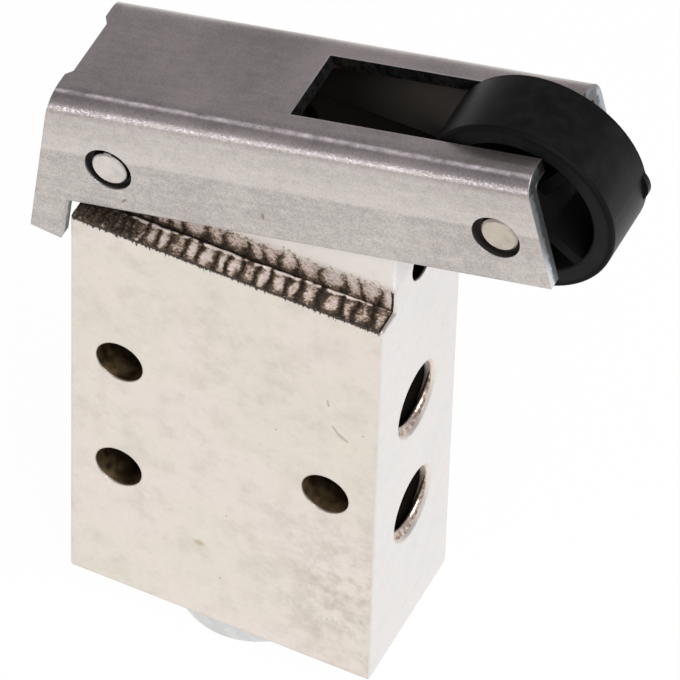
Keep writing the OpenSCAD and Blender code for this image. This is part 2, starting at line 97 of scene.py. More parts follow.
class Shade:
    """One node output. Arithmetic on it adds Math nodes, and node() adds any other kind of node."""

    def __init__(self, tree, socket=None):
        self.tree = tree
        self.socket = socket

    def node(self, kind, settings=(), values=(), output=0):
        """Adds a node: first its settings and ramp stops, then the values or links of its sockets."""
        new = self.tree.nodes.new(kind)
        for name, value in dict(settings).items():
            if name == "stops":
                ramp = new.color_ramp
                while len(ramp.elements) < len(value):
                    ramp.elements.new(1)
                for stop, (position, tint) in zip(ramp.elements, value):
                    stop.position = position
                    stop.color = (*tint, 1)
            else:
                setattr(new, name, value)
        for name, value in dict(values).items():
            if isinstance(value, Shade):
                self.tree.links.new(value.socket, new.inputs[name])
            else:
                new.inputs[name].default_value = value
        return Shade(self.tree, new.outputs[output])

    def math(self, operation, first, second=0.0):
        return self.node("ShaderNodeMath", {"operation": operation}, {0: first, 1: second})

    def __add__(self, other):
        return self.math("ADD", self, other)

    __radd__ = __add__

    def __sub__(self, other):
        return self.math("SUBTRACT", self, other)

    def __rsub__(self, other):
        return self.math("SUBTRACT", other, self)

    def __mul__(self, other):
        return self.math("MULTIPLY", self, other)

    __rmul__ = __mul__

    def __truediv__(self, other):
        return self.math("DIVIDE", self, other)

    def __pow__(self, other):
        return self.math("POWER", self, other)

    def __abs__(self):
        return self.math("ABSOLUTE", self)

    def __lt__(self, other):
        return self.math("LESS_THAN", self, other)

    def __gt__(self, other):
        return self.math("GREATER_THAN", self, other)

    def most(self, other):
        return self.math("MAXIMUM", self, other)

    def least(self, other):
        return self.math("MINIMUM", self, other)

    def rise(self, low, high):
        """Smooth step from 0 at low to 1 at high; it falls where high is below low."""
        flip = high < low
        values = {"Value": self, "From Min": min(low, high), "From Max": max(low, high)}
        step = self.node("ShaderNodeMapRange", {"interpolation_type": "SMOOTHSTEP"}, values)
        return 1 - step if flip else step

    def mix(self, first, second):
        """Colour that goes from first to second as this value goes from 0 to 1."""
        return self.node("ShaderNodeMix", {"data_type": "RGBA"}, {0: self, 6: first, 7: second}, 2)

    def parts(self):
        """X, Y and Z of this vector."""
        split = self.node("ShaderNodeSeparateXYZ", (), {0: self}).socket.node
        return [Shade(self.tree, out) for out in split.outputs]


def finish(name):
    """New material of this name, a Shade to build its nodes with, and its shader node."""
    material = bpy.data.materials.new(name)
    material.use_nodes = True
    tree = material.node_tree
    return material, Shade(tree), tree.nodes["Principled BSDF"]


def colour(red, green, blue):
    """Opaque colour, as a socket takes it."""
    return (red, green, blue, 1)


def hypot(first, second):
    """Length of the vector with these two parts."""
    return (first**2 + second**2) ** 0.5


def place(shade, scale=(1, 1, 1), turn=(0, 0, 0), origin=(0, 0, 0)):
    """Object coordinates in millimetres from an origin, turned, then scaled along each axis."""
    spun = Matrix.Rotation(turn[1], 3, "Y") @ Vector(origin) / mm
    spot = shade.node("ShaderNodeTexCoord", (), (), "Object")
    values = {"Vector": spot, "Location": -spun, "Rotation": turn, "Scale": [1 / mm] * 3}
    local = shade.node("ShaderNodeMapping", (), values)
    if tuple(scale) == (1, 1, 1):
        return local
    return shade.node("ShaderNodeVectorMath", {"operation": "MULTIPLY"}, {0: local, 1: scale})


def cloud(spot, scale, detail=2.0, roughness=0.5):
    """Noise from 0 to 1 with features about 1/scale millimetres wide."""
    values = {"Vector": spot, "Scale": scale, "Detail": detail, "Roughness": roughness}
    return spot.node("ShaderNodeTexNoise", (), values)


def specks(spot, scale, share, size):
    """Round spots in a share of the cells of a Voronoi pattern, of this size in cells."""
    cells = spot.node("ShaderNodeTexVoronoi", (), {"Vector": spot, "Scale": scale})
    pick = Shade(spot.tree, cells.socket.node.outputs["Color"]).parts()
    radius = pick[1] * size
    return (pick[0] < share) * (cells - radius).rise(0, -0.5 * size)


def dress(shader, shade, settings, height=None, depth=0.0, bevel=0.0):
    """Sets or links a shader's sockets, with bump of this depth in metres over a bevelled normal."""
    for name, value in settings.items():
        if isinstance(value, Shade):
            shade.tree.links.new(value.socket, shader.inputs[name])
        else:
            shader.inputs[name].default_value = value
    normal = {}
    if bevel:
        normal["Normal"] = shade.node("ShaderNodeBevel", {"samples": 4}, {"Radius": bevel})
    if height is not None:
        values = {"Height": height, "Distance": depth, "Strength": 1.0, **normal}
        normal["Normal"] = shade.node("ShaderNodeBump", (), values)
    if normal:
        shade.tree.links.new(normal["Normal"].socket, shader.inputs["Normal"])


def coat(names, material):
    """Gives CAD nodes their finish."""
    for name in names:
        slots = frame["nodes"][name].data.materials
        slots.clear()
        slots.append(material)


def stroke(x, z, start, end, width):
    """Mask of a straight scratch of this half width between two points."""
    run = np.array(end) - np.array(start)
    share = ((x - start[0]) * run[0] + (z - start[1]) * run[1]) / float(run @ run)
    share = share.most(0.0).least(1.0)
    gap = hypot(x - start[0] - share * run[0], z - start[1] - share * run[1])
    return gap.rise(width, 0.3 * width)


def plate_tone(spot):
    """Colour of dull nickel and how bare its metal is.

    Two warm tints drift into each other, mottled with grey and with pink. The lug is painted paler and less
    metallic, a painted light that lifts it out of the lever's shade.
    """
    drift = cloud(spot, 0.12, 3).rise(0.32, 0.68)
    plate = drift.mix(colour(0.835, 0.755, 0.70), colour(0.80, 0.745, 0.655))
    mottle = cloud(spot, 0.55, 6, 0.7)
    plate = (mottle.rise(0.42, 0.80) * 0.55).mix(plate, colour(0.59, 0.54, 0.465))
    plate = (cloud(spot, 0.9, 4, 0.65).rise(0.52, 0.75) * 0.3).mix(plate, colour(0.90, 0.79, 0.76))
    # Painted light: the lug is painted paler and less metallic against the lever's shade.
    painted_lug_light = (spot.parts()[2] - ledge_z).rise(1.5, 2.6)
    return (painted_lug_light * 0.85).mix(plate, colour(0.98, 0.93, 0.86)), 1 - 0.6 * painted_lug_light


def nickel_plate():
    """Dull nickel over a machined block, with pits and handling marks, painted shade in the drillings and
    under the ledges' burrs, painted light on the lug and a painted highlight in the ports' mouths.
    """
    material, shade, shader = finish("nickel_block")
    spot = place(shade)
    x, y, z = spot.parts()
    out = abs(y - mid_y)
    face = (out - block_half).rise(-0.15, -0.05)
    front = face * (y < mid_y)

    grain = cloud(spot, 2.0, 5, 0.7)
    plate, metal = plate_tone(spot)
    end = (x - block_high[0]).rise(-0.12, -0.02)
    haze = cloud(spot, 0.4, 4, 0.6).rise(0.35, 0.7)
    plate = end.mix(plate, haze.mix(colour(0.875, 0.835, 0.81), colour(0.835, 0.825, 0.815)))
    plate = (grain.rise(0.50, 0.85) * 0.30).mix(plate, colour(0.56, 0.50, 0.43))

    reach = hypot(x - stain_x, (z - stain_z) * stain_squash)
    soiled = reach.rise(stain_r, 0.5) * front
    stain = soiled * cloud(spot, 0.9, 6, 0.72).rise(0.40, 0.72)
    plate = (stain * 0.5).mix(plate, colour(0.44, 0.385, 0.30))
    fine = specks(spot, 1.7, 0.42, 0.13)
    coarse = specks(spot, 0.55, 0.35, 0.09)
    peppered = specks(spot, 3.1, 0.35, 0.22) * soiled
    nicked = (x - block_high[0]).rise(-0.9, -0.3) * front * specks(spot, 1.1, 0.5, 0.3)
    pits = (fine * 0.5).most(coarse).most(peppered * 0.7).most(nicked * 0.55)
    plate = (pits * 0.5).mix(plate, colour(0.24, 0.19, 0.15))
    marks = reduce(Shade.most, [stroke(x, z, *scratch) for scratch in scratches]) * front
    plate = (marks * 0.45).mix(plate, colour(0.30, 0.24, 0.19))
    rust = hypot(x - rust_x, (z - rust_z) * rust_squash)
    plate = (rust.rise(rust_r, 0.05) * front * 0.65).mix(plate, colour(0.50, 0.40, 0.20))

    # Painted shadow of the burr: below the ledges' front edges its ragged teeth are painted near black and dented.
    ragged = cloud(place(shade, (1, 0, 0.25)), 5.0, 3, 0.8).rise(0.45, 0.80)
    hang = (z - ledge_z + edge_w + 0.45 * ragged).rise(-0.03, 0.05)
    burr_teeth_and_shadow = hang * face * (x - block_high[0]).rise(0, -0.4)
    plate = (burr_teeth_and_shadow * 0.9).mix(plate, colour(0.045, 0.032, 0.022))

    # Painted shade: the cross holes' walls are dark bronze brown; the deep end holes, the bush's bore and the
    # block's top under the lever are near black.
    walls, mouth_highlights, shade_masks = [], [], []
    for hole_x, hole_z in cross_holes:
        span = hypot(x - hole_x, z - hole_z)
        walls.append((span < cross_r * wall_slack) * (block_half - out).rise(0.02, 0.2))
    # Painted highlight: the upper part of each end hole's mouth is painted peach and less metallic.
    for hole_z, hole_r, light_l in end_holes:
        span = hypot(y - mid_y, z - hole_z)
        depth = (block_high[0] - x) * (x > 0)
        mouth_highlights.append((span < hole_r * 1.15) * depth.rise(0.02, 0.12) * (z - hole_z).rise(-0.5, 1.0))
        shade_masks.append((span < hole_r * wall_slack) * depth.rise(light_l, light_l + 0.15))
    shade_masks.append((z - block_high[2]).rise(-0.3, -0.2))
    shade_masks.append((hypot(x, y - mid_y) < bush_bore_r) * (z > ledge_z))
    wall, mouth_highlight, bore_shade = (reduce(Shade.most, masks) for masks in (walls, mouth_highlights, shade_masks))
    bronze = cloud(spot, 1.1, 3).rise(0.3, 0.8)
    hole_shade = bronze.mix(colour(0.066, 0.046, 0.025), colour(0.32, 0.228, 0.125))
    paint = wall.mix(plate, hole_shade)
    paint = mouth_highlight.mix(paint, colour(0.93, 0.80, 0.68))
    paint = bore_shade.mix(paint, colour(0.009, 0.007, 0.005))
    rough = 0.35 + 0.12 * grain + 0.25 * wall + 0.12 * pits + 0.1 * stain + 0.2 * burr_teeth_and_shadow
    relief = grain * 0.5 - pits * 1.2 - burr_teeth_and_shadow - marks
    settings = {"Base Color": paint, "Metallic": metal * (1 - 0.85 * mouth_highlight), "Roughness": rough}
    dress(shader, shade, settings, relief, depth=0.00001, bevel=0.0002)
    return material


coat(["valve_body"], nickel_plate())

# Milled ledges. The two steps beside the lug are cut after plating with a worn cutter, which chatters:
# it leaves a row of scallops on each ledge and another on the foot of the lug, with a burr where they meet.
# Both are part of the block and show bare, sooty metal, with painted shade between the scallops, in the
# groove, at the lug's foot and at the ends, and painted highlights in the scallops and on the burr.
lug_half = 4.0
relief_depth, relief_h = 0.12, 2.0
foot_half = lug_half - relief_depth
skin_top = ledge_z + relief_h + 0.5
proud, buried = 0.002, 0.07
stations, rows, under_step = 880, 80, 3
cell_count = 60


def piece(name, points, faces, body, material):
    """New mesh from points in millimetres, fixed to a body."""
    mesh = bpy.data.meshes.new(name)
    mesh.from_pydata((points.reshape(-1, 3) * mm).tolist(), [], faces)
    mesh.polygons.foreach_set("use_smooth", np.ones(len(mesh.polygons), bool))
    mesh.materials.append(material)
    made = bpy.data.objects.new(name, mesh)
    bpy.context.scene.collection.objects.link(made)
    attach(made, body)
    return made


def closed_sweep(rings):
    """Faces of a closed profile carried along a path: quads between its rings and a cap at each end."""
    count, sides = rings.shape[:2]
    near = np.arange(count * sides).reshape(count, sides)
    after = np.roll(near, -1, axis=1)
    quads = np.stack([near[:-1], after[:-1], after[1:], near[1:]], axis=-1).reshape(-1, 4)
    caps = [near[0, ::-1].tolist(), near[-1].tolist()]
    return quads.tolist() + caps


def ripple(rng, x, pitches):
    """Mean of sine waves of these lengths in millimetres, each with a phase of its own."""
    return sum(np.sin(2 * np.pi * x / pitch + rng.uniform(0, 6.3)) for pitch in pitches) / len(pitches)


def scallop(rng, phase, spread):
    """Signed share of the way from a cell's middle to its edge, and its number, in cells about 1 long."""
    edges = np.cumsum(rng.uniform(1 - spread, 1 + spread, cell_count)) - 2
    number = np.clip(np.searchsorted(edges, phase), 1, len(edges) - 1)
    return 2 * (phase - edges[number - 1]) / (edges[number] - edges[number - 1]) - 1, number


def chatter_skin(seed, side):
    """Skin of one ledge, carried along X.

    Its profile climbs the chamfer, crosses the ledge and climbs the lug's foot, then returns inside the
    block. In each cell the cutter left an oval bowl; the cells of the ledge grow along X. A burr runs along
    the ledge before the corner, with a groove behind it. Soil mixes soot with painted light: it is near 0
    at painted highlights in the bowls and on the burr, and near 1 at painted shade between cells, in the
    groove, at the lug's foot and at both ends. Bare falls from 1 to 0 where the cutter ran out up the lug.
    """
    rng = np.random.default_rng(seed)
    low_x, high_x = block_low[0] + 0.12, block_high[0] - 0.16
    x = np.linspace(low_x, high_x, stations)[:, None]
    length = np.cumsum([0, edge_w * 2**0.5, block_half - edge_w - foot_half, skin_top - ledge_z])
    start = 0.10 + 0.08 * ripple(rng, x, (0.31, 0.53, 0.87, 1.9))
    steps = np.concatenate([[0, 0.002], np.linspace(0.015, 0.985, rows), [0.998, 1]])
    s = start + (length[3] - start) * steps
    out = np.interp(s, length, [block_half, block_half - edge_w, foot_half, foot_half])
    up = np.interp(s, length, [ledge_z - edge_w, ledge_z, ledge_z, skin_top])
    turn = np.radians(np.interp(s, [0.16, 0.36, length[2] - 0.12, length[2] + 0.12], [45, 90, 90, 0]))

    setback = 0.30 - 0.24 * np.clip((x - 3) / 7, 0, 1) + 0.06 * ripple(rng, x, (1.3, 2.9, 6.1))
    past = s - (length[2] - setback)
    burr_and_highlight = np.exp(-((past / 0.10) ** 2))
    on_floor = 1 / (1 + np.exp(past / 0.02))
    groove = 1 / (1 + np.exp(-(past - 0.12) / 0.015)) / (1 + np.exp((s - length[2] - 0.08) / 0.03))
    over = (s - length[1]) / (length[2] - setback - length[1])
    climb = (s - length[2]) / relief_h

    first_pitch, last_pitch, wall_pitch = 0.62, 1.3, 1.3
    grow = (last_pitch - first_pitch) / (high_x - low_x)
    floor_phase = np.log(1 + grow * (x - low_x) / first_pitch) / grow
    floor_at, floor_cell = scallop(rng, floor_phase + 0.2 * over + 0.06 * np.sin(6 * over + 3 * x), 0.38)
    wall_at, wall_cell = scallop(rng, (x - low_x) / wall_pitch + 0.1 * np.sin(5 * climb + 2 * x), 0.3)
    draw = rng.uniform(0, 1, (8, cell_count))
    floor_off = floor_at - 0.3 * (draw[0, floor_cell] - 0.5)
    floor_reach = (floor_off / (0.45 + 0.25 * draw[1, floor_cell])) ** 2 + ((over - 0.43) / 0.50) ** 2
    floor_highlight = np.exp(-(floor_reach**1.5)) * (0.35 + 0.65 * draw[2, floor_cell])
    wall_reach = (wall_at / 0.65) ** 2 + ((climb - 0.55) / 0.42) ** 2
    wall_highlight = np.exp(-(wall_reach**1.5)) * (0.5 + 0.5 * draw[3, wall_cell])
    wall_top = 1.02 + 0.2 * (draw[4, wall_cell] - 0.5) - 0.10 * wall_at**2

    floor_bowl = np.clip(1 - floor_at**2, 0, 1) * np.clip(1 - (1.8 * (over - 0.5)) ** 4, 0, 1)
    wall_bowl = np.clip(1 - wall_at**2 - (2.2 * (climb - 0.45)) ** 2, 0, 1)
    floor = 0.15 - 0.13 * (0.7 + 0.3 * draw[5, floor_cell]) * floor_bowl**0.8
    wall = relief_depth + proud - 0.10 * (0.6 + 0.4 * draw[6, wall_cell]) * wall_bowl**0.8
    height = on_floor * floor + (1 - on_floor) * wall
    height = np.clip(height - 0.1 * groove + 0.05 * burr_and_highlight, 0.006, 0.2)

    # Painted shade at the lug's foot; the bowls' cores carry painted highlights.
    foot_shade = np.clip(1 - climb / 0.5, 0, 1)
    border = (np.abs(over - 0.44) / 0.56) ** 10
    floor_soil_and_shading = 0.60 - 0.78 * floor_highlight + 0.45 * np.abs(floor_at) ** 4 + 0.30 * border
    wall_soil_and_shading = 0.53 - 0.48 * wall_highlight + 0.45 * np.abs(wall_at) ** 4
    wall_soil_and_shading = wall_soil_and_shading + 0.5 * foot_shade * (1 - 0.6 * wall_highlight)
    wall_soil_and_shading = wall_soil_and_shading - 0.15 * np.clip(2 * climb - 1, 0, 1)
    # The groove behind the burr is painted dark, painted shade in a real groove.
    soil = np.maximum(on_floor * floor_soil_and_shading + (1 - on_floor) * wall_soil_and_shading, groove)
    soil = soil + (0.24 * on_floor - 0.08) * np.clip((x - 1) / 4, 0, 1)
    # Painted shade of the lever over the left end.
    soil = np.maximum(soil, 0.82 * np.clip((-5.2 - x) / 1.5, 0, 1))
    # Painted highlight along the burr, broken by a ripple.
    glint = np.clip(0.70 + ripple(rng, x, (0.7, 1.7, 4.3)), 0, 1) * np.clip((x + 8.5) / 1.5, 0, 1)
    soil = np.clip(soil, 0, 1) * (1 - np.clip(1.3 * burr_and_highlight, 0, 1) * glint) - 0.5 * burr_and_highlight * glint
    soil = np.maximum(soil, np.clip((x - high_x + 0.16) / 0.05, 0, 1) * (1 - burr_and_highlight))
    bare = np.where(climb < 0, 1, np.clip((wall_top - climb) / 0.5 + 0.5, 0, 1))

    wide = np.broadcast_to(x, s.shape)
    skin_out = np.minimum(out + height * np.cos(turn), block_half - proud)
    skin = np.stack([wide, skin_out, up + height * np.sin(turn)], -1)
    under = np.stack([wide, out - buried * np.cos(turn), up - buried * np.sin(turn)], -1)
    rings = np.concatenate([skin, under[:, ::-under_step]], axis=1)
    soil = np.concatenate([soil, soil[:, ::-under_step]], axis=1)
    bare = np.concatenate([bare, bare[:, ::-under_step]], axis=1)
    rings[..., 1] = mid_y - side * rings[..., 1]
    if side > 0:
        rings, soil, bare = rings[:, ::-1], soil[:, ::-1], bare[:, ::-1]
    return rings, soil, bare


def chattered_metal():
    """Bare cut metal: soil and painted shade darken it to brown black, painted highlights pale it to pinkish
    white, and it fades to plate where the cutter ran out.
    """
    material, shade, shader = finish("chattered_metal")
    spot = place(shade)
    soil = shade.node("ShaderNodeAttribute", {"attribute_name": "soil"}, (), "Fac")
    bare = shade.node("ShaderNodeAttribute", {"attribute_name": "bare"}, (), "Fac")
    blotch = cloud(spot, 3.2, 2, 0.6)
    crumb = cloud(spot, 6.0, 2, 0.6)
    dirt_and_shading = (soil + 0.9 * (blotch - 0.5) + (crumb - 0.5)).rise(-0.1, 1.1)
    # From a painted highlight at 0 through bare metal to soot and painted shade at 1.
    stops = [(0.0, (0.97, 0.88, 0.84)), (0.3, (0.66, 0.535, 0.44)), (0.6, (0.17, 0.12, 0.082)),
             (1.0, (0.014, 0.010, 0.006))]
    cut = shade.node("ShaderNodeValToRGB", {"stops": stops}, {"Fac": dirt_and_shading})
    keep = (bare + 1.1 * (blotch - 0.5) + 0.9 * (crumb - 0.5)).rise(0.2, 0.8)
    plate, metal = plate_tone(spot)
    paint = keep.mix(plate, cut)
    rough = 0.36 + 0.2 * keep * dirt_and_shading
    settings = {"Base Color": paint, "Metallic": metal * (1 - 0.65 * keep), "Roughness": rough}
    dress(shader, shade, settings, keep * (blotch + crumb), depth=0.000015)
    return material


def store(made, name, values):
    """Keeps one value for each vertex of a mesh."""
    layer = made.data.attributes.new(name, "FLOAT", "POINT")
    layer.data.foreach_set("value", values.ravel().astype(np.float32))


cut_metal = chattered_metal()
for name, seed, side in (("front_ledge", 11, 1), ("rear_ledge", 23, -1)):
    rings, soil, bare = chatter_skin(seed, side)
    ledge = piece(name, rings, closed_sweep(rings), "block", cut_metal)
    store(ledge, "soil", soil)
    store(ledge, "bare", bare)

# Port threads. Both ports are tapped after drilling with a standard fine fitting thread of 0.8 mm pitch,
# whose turns run from the countersunk mouth nearly to the bottom and are oily and bronze dark inside, with
# painted highlights on the first crests and painted shade that turns them black deeper in.
thread_pitch = 0.8
thread_depth = 0.4
thread_start = 0.34
run_out = np.radians(110)


def thread_turns(port_z):
    """Ridge of triangular section carried along a helix inside a port, which runs out at both ends."""
    turns = 5
    first = block_high[0] - thread_start - turns * thread_pitch
    angle = np.linspace(0, 2 * np.pi * turns, int(turns * 90))[:, None]
    left = np.minimum(angle, angle[-1] - angle)
    full = np.clip(left / run_out, 0.02, 1)
    along = np.array([-0.48, -0.06, 0.06, 0.48, 0.48, -0.48]) * thread_pitch * full**0.5
    inward = np.array([0, 1, 1, 0, -0.2, -0.2]) * thread_depth
    radius = port_r - 0.01 - np.where(inward > 0, inward * full, inward)
    x = first + thread_pitch * angle / (2 * np.pi) + along
    return np.stack([x, mid_y + radius * np.cos(angle), port_z + radius * np.sin(angle)], axis=-1)


def threaded_metal():
    """Cut thread: painted highlights pale the first crests, oil and painted shade darken the roots, and
    painted shade turns it black deep in the port.
    """
    material, shade, shader = finish("threaded_metal")
    spot = place(shade)
    x, y, z = spot.parts()
    lift = abs(z) - port_places[1]
    away = hypot(y - mid_y, lift)
    crest = away.rise(port_r - 0.05, port_r - thread_depth * 0.9)
    # Painted shade: black past the first turns; the pale first crests are painted highlights.
    deep_shade = (block_high[0] - x).rise(0.55, 0.80)
    torn = cloud(spot, 3.2, 3, 0.65)
    oil_and_shade = (1 - crest) * 0.35 + deep_shade * 1.5 + 1.5 * (torn - 0.5)
    stops = [(0.0, (0.92, 0.82, 0.74)), (0.4, (0.40, 0.29, 0.22)), (0.75, (0.03, 0.022, 0.015)),
             (1.0, (0.008, 0.006, 0.004))]
    paint = shade.node("ShaderNodeValToRGB", {"stops": stops}, {"Fac": oil_and_shade})
    settings = {"Base Color": paint, "Metallic": 0.9, "Roughness": (0.28 + 0.3 * oil_and_shade).most(0.2)}
    dress(shader, shade, settings, torn, depth=0.00005)
    return material


tapped = threaded_metal()
for name, port_z in zip(("supply_thread", "outlet_thread"), port_places):
    rings = thread_turns(port_z)
    piece(name, rings, closed_sweep(rings), "block", tapped)

# End plug. A turned steel screw plug with a hexagon socket closes the bore from below.
# It is plated like the block but brighter, with lathe rings on its head.
ring_step = 0.17
soot_and_shade_step = 0.07


def turned_metal(name, tint, dull, centre, axis, ringed=0.22, half_length=None, clean=0.13, glint_at=None):
    """Lathe turned metal: fine rings about an axis through a point, and blotches.

    A pin is clean for a short way from its ends and sooty below, the soot mixed with painted shade, but for
    a spot on top that is left bright as a painted highlight.
    """
    material, shade, shader = finish(name)
    spot = place(shade, origin=centre)
    parts = spot.parts()
    along = parts[axis]
    first, second = (parts[index] for index in range(3) if index != axis)
    drift = cloud(spot, 1.3, 4, 0.6)
    turns = (hypot(first, second) + 0.05 * drift) * (2 * np.pi / ring_step)
    groove = turns.math("SINE", turns)
    shine = colour(*(min(1, 1.1 * level) for level in tint))
    dark = colour(*(0.78 * level for level in tint))
    paint = (0.55 + ringed * groove + 1.5 * (drift - 0.5)).rise(0, 1).mix(dark, shine)
    rough = dull + 0.14 * drift
    if half_length:
        # Soot and painted shade on the pin below its ends, inside its hole; a spot on top is a painted highlight.
        soot_and_shade = (half_length - abs(along)).rise(clean, clean + soot_and_shade_step)
        if glint_at is not None:
            soot_and_shade = soot_and_shade * (1 - abs(first - glint_at).rise(0.3, 0.18) * (second > 0))
        paint = soot_and_shade.mix(paint, colour(0.02, 0.015, 0.011))
        rough = rough + 0.25 * soot_and_shade
    settings = {"Base Color": paint, "Metallic": 1.0, "Roughness": rough}
    dress(shader, shade, settings, groove * (2.2 * ringed) + drift, depth=0.000005, bevel=0.00008)
    return material


crosswise, upright = 1, 2
bore_axis = (0, mid_y * mm, 0)
coat(["end_plug"], turned_metal("nickel_plug", (0.775, 0.775, 0.765), 0.26, bore_axis, upright))

# Seals. Four black nitrile rings close the plug, the seat, the plunger and its bush, and a moulded disc
# in the poppet's face closes the seat. All are faintly greased.


def nitrile():
    """Black rubber with a pale moulding bloom."""
    material, shade, shader = finish("rubber")
    spot = place(shade)
    bloom = cloud(spot, 2.4, 4, 0.6)
    paint = bloom.rise(0.35, 0.8).mix(colour(0.016, 0.016, 0.017), colour(0.05, 0.049, 0.047))
    settings = {"Base Color": paint, "Roughness": 0.45 + 0.25 * bloom}
    dress(shader, shade, settings, cloud(spot, 12, 2), depth=0.00001)
    return material


coat(["end_plug_seal", "valve_seat_seal", "poppet_seal", "plunger_seal", "guide_seal"], nitrile())

# Brass insides. The supply sleeve, the valve seat, the poppet and the plunger's guide bush are turned
# from brass and stacked in the bore from below and from above.
brass_pieces = ["supply_sleeve", "valve_seat", "poppet", "guide_bush"]
coat(brass_pieces, turned_metal("brass", (0.80, 0.61, 0.30), 0.26, bore_axis, upright))

# Springs, clip and ring. The two coils are wound from drawn stainless wire with a dead turn at each end.
# The plunger's clip and the ring that keeps the guide bush in the lug are blanked from spring strip and
# painted near black, a painted shade for where they lie under the lever.
joints = {joint["name"]: joint for joint in frame["joints"]}
springs = [("poppet_coil", "poppet_spring", "poppet_slide", 0.45, 8),
           ("return_coil", "return_spring", "plunger_slide", 0.5, 6)]


def coil(low, high, wire, turns):
    """Round wire carried along a helix that fills a box in height and width.

    It climbs one wire in the first and the last turn, which lie dead, and evenly in the turns between.
    """
    turn = np.linspace(0, turns, turns * 48 + 1)[:, None]
    dead = 1.04 * wire
    rise = high[2] - low[2] - wire
    climb = np.interp(turn, [0, 1, turns - 1, turns], [0, dead, rise - dead, rise])
    angle = 2 * np.pi * turn
    around = np.linspace(0, 2 * np.pi, 12, endpoint=False)
    radius = (high[0] - low[0] - wire) / 2 + wire / 2 * np.cos(around)
    z = low[2] + wire / 2 + climb - wire / 2 * np.sin(around)
    return np.stack([radius * np.cos(angle), mid_y + radius * np.sin(angle), z], axis=-1)


def drawn_metal(name, dark, pale):
    """Drawn spring metal, streaked along the bore between two tints."""
    material, shade, shader = finish(name)
    spot = place(shade)
    streak = cloud(place(shade, (1, 1, 6)), 3.0, 3)
    paint = streak.mix(dark, pale)
    settings = {"Base Color": paint, "Metallic": 1.0, "Roughness": 0.25 + 0.2 * cloud(spot, 4, 2)}
    dress(shader, shade, settings, streak, depth=0.000004)
    return material


spring_wire = drawn_metal("spring_steel", colour(0.50, 0.51, 0.53), colour(0.70, 0.71, 0.73))
# The clip and the ring are painted near black: painted shade under the lever.
painted_shade_strip = drawn_metal("painted_shade_strip", colour(0.012, 0.012, 0.012), colour(0.03, 0.03, 0.03))
coat(["poppet_spring", "return_spring"], spring_wire)
coat(["plunger_clip", "retaining_ring"], painted_shade_strip)
for name, node, slide, wire, turns in springs:
    low, high = (np.array(corner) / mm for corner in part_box(node))
    rings = coil(low, high, wire, turns)
    spring = piece(name, rings, closed_sweep(rings), "block", spring_wire)
    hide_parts(node)
    travel = max(abs(end) for end in joints[slide]["range_m"]) / mm
    1 - travel / (high[2] - low[2])
    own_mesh(spring)

# Plunger and pins. The plunger is ground steel with a polished dome; the pivot pin is pressed through the
# lug and the roller pin sits in the lever's flanges. The pins' ends are faced on a lathe and have gone dull.
coat(["plunger"], turned_metal("plunger_steel", (0.72, 0.71, 0.70), 0.2, bore_axis, upright))
pivot = joints["lever_pivot"]["pos_m"]
axle = joints["roller_spin"]["pos_m"]
pin_low, pin_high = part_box("pivot_pin")
pin_half = (pin_high[1] - pin_low[1]) / 2 / mm
glint_x = -0.17
pivot_steel = turned_metal("pivot_steel", (0.725, 0.67, 0.625), 0.36, pivot, crosswise, ringed=0.07,
                           half_length=pin_half, clean=0.05, glint_at=glint_x)
axle_steel = turned_metal("axle_steel", (0.615, 0.55, 0.465), 0.38, axle, crosswise, ringed=0.10,
                          half_length=pin_half)
coat(["pivot_pin"], pivot_steel)
coat(["roller_pin"], axle_steel)

# Lever. It is blanked and folded from 1 mm rolled steel sheet into a channel that turns on the pivot pin.
# The rolled faces keep a fine sandy grain, rubbed paler by the tool down to the flanges' middle. The near
# bend is creased along its top, with a painted highlight on the crease and painted sparkles below, and the
# sheared edges are half burnished, half torn. The inside and the rings round the pins carry painted shade,
# the slot's walls are painted dark and a painted highlight runs along its top edge.
sheet_t = 1.0
bend_r = 1.5
web_out = 5.2
lever_tilt = np.radians(14.3)
lever_turn = Matrix.Rotation(lever_tilt, 3, "Y")
lever_low, lever_high = (np.array(corner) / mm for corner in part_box("lever"))
lever_half = (lever_high[1] - lever_low[1]) / 2
rub_v = 0.8
crease_w, crease_lean = 4.1, 0.0058
lit_u, lit_l = 12, 9
axle_u = lever_turn @ (Vector(axle) - Vector(pivot)) / mm
ring_shade_r = 2.0
pin_rings = [(0, 0, 0.09), (axle_u[0], axle_u[2], 0.02)]
roller_low, roller_high = (np.array(corner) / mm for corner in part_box("roller"))
tread_r = (roller_high[2] - roller_low[2]) / 2
slot_lead, slot_gap = 8, 0.27
slot_u = axle_u[0] - tread_r - slot_lead
rim_half = 2.5
slot_half = rim_half + slot_gap
flange_marks = [((-7.43, 19.17), (-7.23, 19.42), 0.12), ((2.13, 22.75), (2.2, 22.42), 0.13)]


